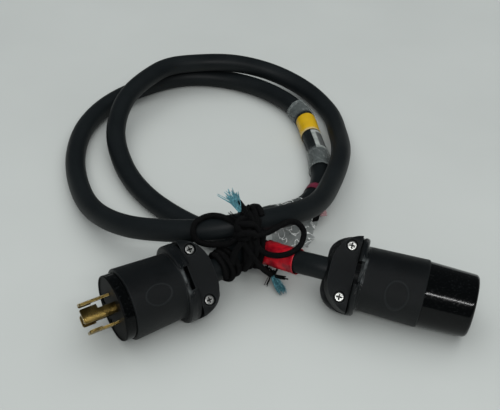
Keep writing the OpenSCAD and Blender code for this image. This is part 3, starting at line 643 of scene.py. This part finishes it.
core_upper = strands(
    "tie_core_upper_strands",
    [((-31.5, 33, 63.5), (-40.5, 49.5, 66), 60, 3.0, 0.2),
     ((-31.5, 33, 64), (-36, 49, 66), 50, 2.6, 0.2),
     ((-33, 37, 64.5), (-48.5, 49, 63.5), 9, 0.8, 0.15)],
    3,
)
core_lower = strands(
    "tie_core_lower_strands",
    [((-6, 31, 9), (3.5, 20.5, 3.8), 60, 1.9, 0.2),
     ((-6, 30.5, 8.5), (0.5, 18.5, 3.5), 36, 1.5, 0.2)],
    5,
)
fray_upper = strands(
    "tie_fray_upper",
    [((-29, 32, 62.5), (-25.2, 39.5, 64), 5, 0.7, 0.9),
     ((-30, 31, 62), (-33, 39, 65), 6, 2.2, 0.6),
     ((-32, 27.5, 60), (-39.5, 31, 62.5), 9, 1.6, 0.3),
     ((-30, 26, 58), (-24, 31, 62), 10, 3.0, 0.5)],
    7,
)
fray_lower = strands(
    "tie_fray_lower",
    [((-7, 31.5, 9.5), (3.5, 29.5, 9), 12, 1.8, 0.5),
     ((-8.5, 31, 10), (-11, 36, 14), 10, 1.8, 0.5),
     ((-8, 30, 8), (-10.5, 27.5, 1), 7, 1.4, 0.2),
     ((-7, 31, 9), (-4, 33.5, 12), 12, 2.4, 0.6)],
    9,
)

core = Finish("lace_core")
from_root = core.map(1)
pale = from_root.over(0.010, 0.007) * 0.75 + core.grain(850, 2).over(0.55, 0.12) * 0.5
core.shade(
    {
        "Base Color": core.mix(pale, (0.005, 0.065, 0.085), (0.17, 0.45, 0.52)),
        "Roughness": 0.6,
        "Sheen Weight": 0.1,
        "Normal": core.relief(core.grain(3000, 2), 0.0001, 0.4),
    }
)
core.dress(core_upper, core_lower)
lace_pieces = {
    lashing: "tie_lashing", wrap_lace: "tie_wrap", knot: "tie_knot", bow_left: "tie_bow_left",
    bow_right: "tie_bow_right", tail_upper: "tie_tail_upper", tail_lower: "tie_tail_lower",
    core_upper: "tie_core_upper", core_lower: "tie_core_lower", fray_upper: None, fray_lower: None,
}
cores = (core_upper, core_lower)
lace.dress(*[piece for piece in lace_pieces if piece not in cores])
for piece, node in lace_pieces.items():
    if node:
        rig.replaces(piece, node)
    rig.slot(piece, "lace_core" if piece in cores else "lace_black")
    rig.ride(piece, "root")


def length_of(line):
    return sum((b - a).length for a, b in zip(line, line[1:]))


for piece, line, end, pieces in (
    (lashing, lashing_line, "knot", [knot, tail_upper, core_upper, fray_upper]),
    (wrap_lace, wrap_line, "object", []),
    (bow_left, bow_left_line, "object", []),
    (bow_right, bow_right_line, "object", []),
    (tail_lower, tail_lower_line, "bare", [core_lower, fray_lower]),
):
    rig.cord(
        piece,
        exit=line[0],
        length=length_of(line),
        diameter=2 * lace_r,
        far_end=end,
        stiffness="limp",
        lay="taut" if piece in (lashing, wrap_lace) else "loose",
        path=line,
        with_pieces=pieces,
    )


# ---- Tapes and markers ----
# Thin tapes wound round the cable: a yellow marker, a small blank label and a milky clear sleeve
# over both, crumpled clear tape with a loose flap, a faded red marker, and red tape near the
# connector. A thin red end and a flat lace end lie loose beside the cable.
def tape(name, columns, rows, wall, lie):
    """A thin sheet whose every point lies where lie(across, along) says, both from 0 to 1."""
    form = bmesh.new()
    unwound = form.loops.layers.uv.new("UVMap")
    bmesh.ops.create_grid(form, x_segments=columns, y_segments=rows, size=0.5)
    where = {v: (v.co.x + 0.5, v.co.y + 0.5) for v in form.verts}
    for face in form.faces:
        face.smooth = True
        for corner in face.loops:
            corner[unwound].uv = where[corner.vert]
    for v, (across, along) in where.items():
        v.co = lie(across, along)
    bmesh.ops.remove_doubles(form, verts=form.verts, dist=1e-6)
    bmesh.ops.recalc_face_normals(form, faces=form.faces)
    mesh = bpy.data.meshes.new(name)
    form.to_mesh(mesh)
    form.free()
    piece = bpy.data.objects.new(name, mesh)
    bpy.context.collection.objects.link(piece)
    skin = piece.modifiers.new("wall", "SOLIDIFY")
    skin.thickness = wall
    skin.offset = 0
    return piece


def wound(name, start, end, lift, wall, first=-90, last=270, crumple=0.0, flare=0.0, seed=0):
    """Tape on the cable between two distances and two angles, with an uneven surface.

    It stands off the sheath by lift, and its two ends open by flare.
    """

    def lie(across, along):
        spot = on_cable(start + (end - start) * along, first + (last - first) * across, cable_r)
        rough = 0.5 + 0.5 * noise.noise(spot * 210 + Vector((seed, 0, 0)))
        rough += 0.25 * noise.noise(spot * 620 + Vector((0, seed, 0)))
        gape = flare * (max(0, 1 - along * 6) ** 2 + max(0, along * 6 - 5) ** 2)
        spot = on_cable(
            start + (end - start) * along,
            first + (last - first) * across,
            cable_r + lift + wall / 2 + crumple * max(rough, 0) + gape,
        )
        spot.z = max(spot.z, wall)
        return spot

    degrees_a_column, row_height = 7.5, 0.0012
    columns = max(10, round((last - first) / degrees_a_column))
    rows = max(6, round((end - start) / row_height))
    return tape(name, columns, rows, wall, lie)


label_from, label_to = 16, 104
tape_gap, red_gap, sleeve_gap = 0.3 * mm, 0.35 * mm, 0.9 * mm
vinyl, thin_paper, thin_film = 0.2 * mm, 0.15 * mm, 0.12 * mm
yellow_band = wound("yellow_band", 0.2489, 0.2729, tape_gap, vinyl, crumple=0.2 * mm, seed=1)
label = wound(
    "label_strip", 0.2213, 0.2474, tape_gap, thin_paper, label_from, label_to,
    crumple=0.15 * mm, seed=2,
)
clear_sleeve = wound(
    "clear_sleeve", 0.1983, 0.2928, sleeve_gap, thin_film, crumple=0.9 * mm, flare=0.4 * mm, seed=3
)
clear_wrap = wound("clear_wrap", 0.1060, 0.1430, tape_gap, thin_film, crumple=0.3 * mm, seed=4)
red_wrap = wound(
    "red_wrap", 1.5165, 1.5420, red_gap, vinyl, crumple=0.7 * mm, flare=0.4 * mm, seed=5
)
red_band = wound("red_band", 0.1638, 0.1710, tape_gap, vinyl, crumple=0.3 * mm, seed=6)


def spread_flat(corners, sag, rough, seed):
    """Sheet between four corners (near left, near right, far left, far right), crumpled."""
    near_left, near_right, far_left, far_right = [Vector(c) * mm for c in corners]
    above_table = 0.6 * mm

    def lie(across, along):
        near = near_left.lerp(near_right, across)
        far = far_left.lerp(far_right, across)
        spot = near.lerp(far, along)
        spot.z -= sag * mm * 4 * along * (1 - along)
        crease = abs(noise.noise(spot * 95 + Vector((seed, 0, 0))))
        crease += 0.5 * abs(noise.noise(spot * 260))
        spot.z = max(above_table, spot.z + rough * mm * crease)
        spot.x += rough * 0.5 * mm * noise.noise(spot * 140 + Vector((0, seed, 0)))
        return spot

    return lie


clear_flap = tape(
    "clear_flap", 40, 36, 0.1 * mm,
    spread_flat([(-6, 68, 1.5), (21, 69, 1.5), (-8, 82, 14), (27, 105, 6)], 4, 6.0, 11),
)
red_end = tape(
    "red_band_end", 8, 10, 0.12 * mm,
    spread_flat([(30, 104, 5), (35, 107, 4), (24, 122, 8), (33, 121, 8)], 1, 1.2, 12),
)
dark_end = tape(
    "lace_end_flat", 6, 8, 0.5 * mm,
    spread_flat([(23.5, 96.5, 5.5), (28, 98, 5.5), (25, 116, 8), (31, 113, 8)], 0, 1.0, 13),
)

yellow = Finish("yellow_tape")
worn_edge = (1 - yellow.map(1).over(0.10, 0.05)) * 0.6
yellow.shade(
    {
        "Base Color": yellow.mix(
            worn_edge,
            yellow.mix(yellow.grain(120, 4), (0.40, 0.235, 0.0005), (0.58, 0.36, 0.001)),
            (0.42, 0.36, 0.22),
        ),
        "Roughness": 0.35,
        "Specular IOR Level": 0.3,
        "Normal": yellow.relief(yellow.grain(300, 3), 0.0003, 0.4),
    }
)
red = Finish("red_tape")
fold_and_shade = red.grain(150, 4)
red.shade(
    {
        # Darker red where the crumple is low and brighter where it is high: painted shade and highlight on the folds.
        "Base Color": red.mix(fold_and_shade.over(0.5, 0.18), (0.20, 0.0008, 0.008), (0.55, 0.006, 0.016)),
        "Roughness": 0.3 + 0.2 * red.grain(400, 2),
        "Normal": red.relief(fold_and_shade + 0.3 * red.grain(500, 3), 0.0012, 0.7),
    }
)
faded = Finish("faded_red_tape")
faded.shade(
    {
        "Base Color": faded.mix(faded.grain(200, 4), (0.045, 0.006, 0.012), (0.17, 0.02, 0.045)),
        "Roughness": 0.5,
        "Specular IOR Level": 0.2,
        "Normal": faded.relief(faded.grain(500, 3), 0.0004, 0.4),
    }
)
pink = Finish("thin_red_tape")
pink.shade(
    {
        "Base Color": pink.mix(pink.grain(200, 3), (0.42, 0.16, 0.18), (0.55, 0.30, 0.31)),
        "Roughness": 0.3,
        "Alpha": 0.3 + 0.3 * pink.grain(400, 2),
        "Normal": pink.relief(pink.grain(500, 3), 0.0005, 0.6),
    }
)
paper = Finish("label_paper")
paper_turn, paper_far = paper.map(0), paper.map(1)
panel = (
    paper_turn.over(0.05, 0.02) * (1 - paper_turn.over(0.72, 0.03))
    * paper_far.over(0.12, 0.03) * (1 - paper_far.over(0.88, 0.03))
)
paper.shade(
    {
        "Base Color": paper.mix(
            panel,
            paper.mix(paper.grain(160, 4).over(0.5, 0.12), (0.30, 0.32, 0.30), (0.21, 0.23, 0.215)),
            paper.mix(paper.grain(420, 4), (0.035, 0.038, 0.036), (0.09, 0.095, 0.092)),
        ),
        "Roughness": 0.6,
        "Normal": paper.relief(paper.grain(2500, 2), 0.0001, 0.3),
    }
)


def film_finish(name, clear_over_labels, low, high, highlight_strength):
    """Film whose cover runs from low to high, with thin crease lines painted white and more opaque as painted
    highlights, as strong as the last argument.
    """
    film = Finish(name)
    crinkle = film.grain(150, 4)
    # Thin crease lines painted white and more opaque: painted highlights, not real marks on the film.
    painted_highlight = 1 - (film.grain(120, 2) - 0.5).size().over(0.014, 0.012)
    veil = low + (high - low) * crinkle + highlight_strength * painted_highlight
    if clear_over_labels:
        far = film.map(1)
        ends = 1 - far.over(0.025, 0.012) * (1 - far.over(0.975, 0.012))
        over_labels = far.over(0.25, 0.03) * (1 - far.over(0.82, 0.03))
        veil = veil * (1 - 0.97 * over_labels) + 0.25 * ends
    film.shade(
        {
            "Base Color": film.mix(painted_highlight * highlight_strength * 1.4, (0.14, 0.16, 0.155), (0.86, 0.88, 0.85)),
            "Roughness": 0.14 + 0.2 * crinkle,
            "Specular IOR Level": 0.5,
            "Alpha": veil,
            "Normal": film.relief(crinkle + film.grain(500, 2) * 0.25, 0.0015, 0.9),
        }
    )
    return film


sleeve_film = film_finish("clear_film", True, 0.16, 0.46, 0.12)
flap_film = film_finish("loose_film", False, 0.12, 0.28, 0.75)
for piece, finish, node, slot in (
    (yellow_band, yellow, "yellow_marker_band", "tape_yellow"),
    (label, paper, "white_label", "label_white"),
    (clear_sleeve, sleeve_film, "clear_tape_sleeve", "tape_clear"),
    (clear_wrap, flap_film, "clear_tape_wrap", "tape_clear"),
    (clear_flap, flap_film, None, "tape_clear"),
    (red_wrap, red, "red_tape_wrap", "tape_red"),
    (red_band, faded, "red_marker_band", "tape_red"),
    (red_end, pink, None, "tape_red"),
    (dark_end, lace, None, "lace_black"),
):
    finish.dress(piece)
    if node:
        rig.replaces(piece, node)
    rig.slot(piece, slot)
    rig.ride(piece, "root")


# ---- Housings and cord clamps ----
# Rear shells and clamp straps moulded in black rubber-like plastic with a fine matte grain.
# Their sharp edges are painted paler as a painted highlight, and the oval line takes the same
# paler colour. A smoother rib beside each clamp window carries painted highlight streaks.
# Each shell has a plain oval line, which is in the finish only.
def own_place(finish, place, turn):
    """Coordinates in a device's own frame, in millimetres."""
    values = {
        "Vector": finish.place(),
        "Location": Vector(place) * mm,
        "Rotation": [math.radians(a) for a in turn],
    }
    own = finish.node("ShaderNodeMapping", {"vector_type": "TEXTURE"}, values)
    return [finish.split(own, axis) * (1 / mm) for axis in range(3)]


def shell_finish(name, place, turn, oval, rib):
    """Shell plastic with an oval line (x, y, half length, half width), and a rib at x that is smoother and carries
    painted highlight streaks.
    """
    shell = Finish(name)
    x, y, z = own_place(shell, place, turn)
    cloud = shell.grain(70, 4)
    pores = shell.grain(1900, 3)
    edge_r = 0.0006
    rim = shell.rim(edge_r)
    oval_x, oval_y, oval_long, oval_wide = oval
    lengthwise, crosswise = (x - oval_x) * (1 / oval_long), (y - oval_y) * (1 / oval_wide)
    off_line = (lengthwise * lengthwise + crosswise * crosswise - 1).size()
    ring = (1 - off_line.over(0.16, 0.05)) * z.over(10, 1.5)
    turn_round = shell.node("ShaderNodeMath", {"operation": "ARCTAN2"}, {0: y, 1: z})
    knurl = (x * 8).sine() * (turn_round * 185).sine()
    polish = 1 - (x - rib).size().over(2.0, 0.5)
    beside_window = z.over(8, 1.0) * (1 - (y - 2).size().over(8, 2))
    # Painted highlight streaks on the rib, where it faces up beside the window.
    rib_highlight = polish * beside_window * shell.grain(150, 3).over(0.5, 0.2)
    dark, light = (0.0010, 0.0014, 0.0017), (0.0046, 0.0060, 0.0066)
    # Paler colours that paint highlights: scuffed for the rib beside the window, edge for the sharp edges and the oval
    # line.
    rib_highlight_colour, edge = (0.060, 0.066, 0.066), (0.026, 0.030, 0.031)
    moulded = shell.mix(cloud * 0.8 + pores * 0.3, dark, light)
    # used: the moulded colour with the rib's painted highlight streaks.
    used = shell.mix(rib_highlight, moulded, rib_highlight_colour)
    texture = pores + 0.4 * shell.grain(420, 3) + 0.5 * knurl + 2.5 * ring
    shell.shade(
        {
            "Base Color": shell.mix(rim * 0.9 + ring * 0.22, used, edge),
            "Roughness": (0.36 + 0.22 * cloud) * (1 - 0.7 * polish),
            "Specular IOR Level": 0.24,
            "Normal": shell.relief(texture, 0.00022, 0.55, shell.rounded(edge_r)),
        }
    )
    return shell


plug_oval, plug_rib = (-26, 3, 9, 6.5), -47
connector_oval, connector_rib = (-51, -8, 7.5, 9), -75.8
plug_shell = shell_finish("plug_plastic", plug_place, plug_turn, plug_oval, plug_rib)
connector_shell = shell_finish(
    "connector_plastic", connector_place, connector_turn, connector_oval, connector_rib
)
plug_shell.dress(nodes["plug_housing"], nodes["plug_clamp_strap"])
connector_shell.dress(nodes["connector_housing"], nodes["connector_clamp_strap"])

# ---- Front bodies ----
# The blade holder and the connector barrel are moulded in hard black plastic, polished by the
# mould, with faint ripples and handling scratches that break the reflections up. The scratches
# and the sharp edges are painted paler; on the edges this is a painted highlight.
def polished(name, face_roughness, place, turn, gleam):
    """Polished plastic whose flat face at x = 0 has a roughness of its own."""
    gloss = Finish(name)
    face = own_place(gloss, place, turn)[0].over(-1.2, 0.4)
    ripple = gloss.grain(55, 3)
    scratch = gloss.grain(900, 4).over(0.62, 0.08)
    sides = 0.08 + 0.07 * ripple + 0.16 * scratch
    edge_r = 0.0004
    gloss.shade(
        {
            # Sharp edges painted paler as a painted highlight, and scratches paler as real marks.
            "Base Color": gloss.mix(
                gloss.rim(edge_r) * 0.5 + scratch * 0.4,
                (0.0010, 0.0013, 0.0014),
                (0.010, 0.0115, 0.012),
            ),
            "Roughness": sides * (1 - face) + face * face_roughness,
            "Specular IOR Level": gleam,
            "Normal": gloss.relief(ripple, 0.0006, 0.3, gloss.rounded(edge_r)),
        }
    )
    return gloss


holder = polished("polished_holder", 0.6, plug_place, plug_turn, 0.12)
barrel = polished("polished_barrel", 0.3, connector_place, connector_turn, 0.2)
holder.dress(nodes["plug_front_body"])
barrel.dress(nodes["connector_front_body"])

# ---- Terminal block ----
# The block behind the barrel that carries the terminals, moulded in dark grey nylon.
nylon = Finish("terminal_nylon")
cast = nylon.grain(140, 4)
nylon.shade(
    {
        "Base Color": nylon.mix(cast, (0.022, 0.023, 0.022), (0.045, 0.047, 0.045)),
        "Roughness": 0.45 + 0.15 * cast,
        "Normal": nylon.relief(nylon.grain(1600, 3), 0.0002, 0.4),
    }
)
nylon.dress(nodes["connector_terminal_block"])

# ---- Blades and contacts ----
# Stamped and bent brass strip, dull and browned on its flats. Its sharp edges are painted bright,
# partly as rubbed wear and partly as a painted highlight.
brass = Finish("blade_brass")
stain = brass.grain(85, 3).over(0.5, 0.28)
draw = brass.grain(2600, 2)
flats = brass.mix(stain, (0.13, 0.085, 0.024), (0.44, 0.31, 0.095))
brass.shade(
    {
        # Sharp edges painted bright: rubbed wear and a painted highlight together.
        "Base Color": brass.mix(brass.rim(0.0003), flats, (0.85, 0.72, 0.36)),
        "Metallic": 1.0,
        "Roughness": 0.17 + 0.16 * stain,
        "Normal": brass.relief(draw + 0.5 * stain, 0.00012, 0.4),
    }
)
brass_words = ("blade", "contact", "terminal_plates")
brass.dress(*[o for n, o in nodes.items() if any(word in n for word in brass_words)])

# ---- Screws ----
# Zinc-plated steel clamp and assembly screws with pressed cross recesses, and plated brass
# terminal screws. The plating is patchy, with scuffs from a driver. The cross recesses are
# painted near black as painted shade.
recess_top = 12.3
for device, place, turn in (
    ("plug", plug_place, plug_turn),
    ("connector", connector_place, connector_turn),
):
    zinc = Finish(device + "_zinc_plate")
    patch = zinc.grain(520, 4)
    # Below the top of the cross recess the colour is near black: painted shade in the recess.
    sunk = 1 - own_place(zinc, place, turn)[2].over(recess_top, 0.25)
    plating = zinc.mix(patch, (0.34, 0.35, 0.335), (0.92, 0.93, 0.89))
    scuffs = patch + 0.4 * zinc.grain(3000, 2)
    zinc.shade(
        {
            "Base Color": zinc.mix(sunk, plating, (0.03, 0.03, 0.028)),
            "Metallic": 1.0,
            "Roughness": 0.2 + 0.3 * patch,
            "Normal": zinc.relief(scuffs, 0.0003, 0.6, zinc.rounded(0.0003)),
        }
    )
    steel_words = (device + "_clamp_screw", device + "_assembly_screws")
    zinc.dress(*[o for n, o in nodes.items() if n.startswith(steel_words)])
plated = Finish("plated_brass")
tarnish = plated.grain(420, 4)
plated.shade(
    {
        "Base Color": plated.mix(tarnish, (0.36, 0.27, 0.11), (0.72, 0.62, 0.34)),
        "Metallic": 1.0,
        "Roughness": 0.25 + 0.3 * tarnish,
        "Normal": plated.relief(tarnish, 0.0002, 0.4),
    }
)
plated.dress(*[o for n, o in nodes.items() if "terminal_screws" in n])

# ---- Conductors ----
# Stranded copper in coloured insulation, one colour for each pole, inside the two housings.
for colour, dark, light in (
    ("black", (0.003, 0.003, 0.003), (0.012, 0.012, 0.012)),
    ("red", (0.28, 0.006, 0.005), (0.45, 0.014, 0.01)),
    ("white", (0.58, 0.58, 0.55), (0.78, 0.78, 0.75)),
    ("green", (0.004, 0.09, 0.02), (0.012, 0.19, 0.05)),
):
    sleeve = Finish("insulation_" + colour)
    chalk = sleeve.grain(300, 3)
    sleeve.shade(
        {
            "Base Color": sleeve.mix(chalk, dark, light),
            "Roughness": 0.35 + 0.2 * chalk,
            "Normal": sleeve.relief(chalk, 0.0002, 0.3),
        }
    )
    sleeve.dress(nodes["plug_wire_" + colour], nodes["connector_wire_" + colour])

# ---- Table and light ----
# A plain pale table top under a large soft ceiling panel. Two thin lamps in front give the
# glossy barrel its streak, and the panel is kept out of reflections.
half_width = 4
form = bmesh.new()
bmesh.ops.create_grid(form, x_segments=1, y_segments=1, size=half_width)
mesh = bpy.data.meshes.new("table")
form.to_mesh(mesh)
form.free()
table = bpy.data.objects.new("table", mesh)
bpy.context.collection.objects.link(table)
top = Finish("table_top")
top.shade(
    {
        "Base Color": top.mix(top.grain(6, 3), (0.395, 0.415, 0.397), (0.46, 0.482, 0.462)),
        "Roughness": 0.6,
        "Specular IOR Level": 0.25,
    }
)
top.dress(table)
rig.stage(table)


def lamp(name, place, target, wide, deep, power):
    """A flat lamp of a width and depth in metres and a power in watts, aimed at a target."""
    light = bpy.data.lights.new(name, "AREA")
    light.shape = "RECTANGLE"
    light.size, light.size_y, light.energy = wide, deep, power
    holder = bpy.data.objects.new(name, light)
    aim = (Vector(target) - Vector(place)).to_track_quat("-Z", "Y")
    holder.matrix_world = Matrix.Translation(place) @ aim.to_matrix().to_4x4()
    bpy.context.collection.objects.link(holder)
    return holder


lamp("near_tube", (0.10, -1.10, 1.15), (0.05, 0, 0), 1.3, 0.045, 9.5)
lamp("low_tube", (-0.12, -1.35, 0.95), (0.05, 0, 0), 0.3, 0.03, 0.4)
ceiling = lamp("ceiling", (0, 0.2, 2.3), (0, 0.15, 0), 4.2, 4.2, 66)
ceiling.visible_glossy = False
world = bpy.data.worlds.new("room")
world.use_nodes = True
room = world.node_tree
seen = room.nodes.new("ShaderNodeLightPath").outputs["Is Glossy Ray"]
dim = room.nodes.new("ShaderNodeMapRange")
daylight, reflected_daylight = 0.42, 0.08
dim.inputs["To Min"].default_value = daylight
dim.inputs["To Max"].default_value = reflected_daylight
room.links.new(seen, dim.inputs["Value"])
room.links.new(dim.outputs["Result"], room.nodes["Background"].inputs["Strength"])
room.nodes["Background"].inputs["Color"].default_value = (0.9, 0.95, 1.0, 1)
bpy.context.scene.world = world
bpy.context.scene.view_settings.view_transform = "Standard"

with open("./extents.json", "w") as sizes:
    json.dump({"cad": [list(p) for p in cad_box], "visual": [list(p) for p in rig.bounds()]}, sizes)
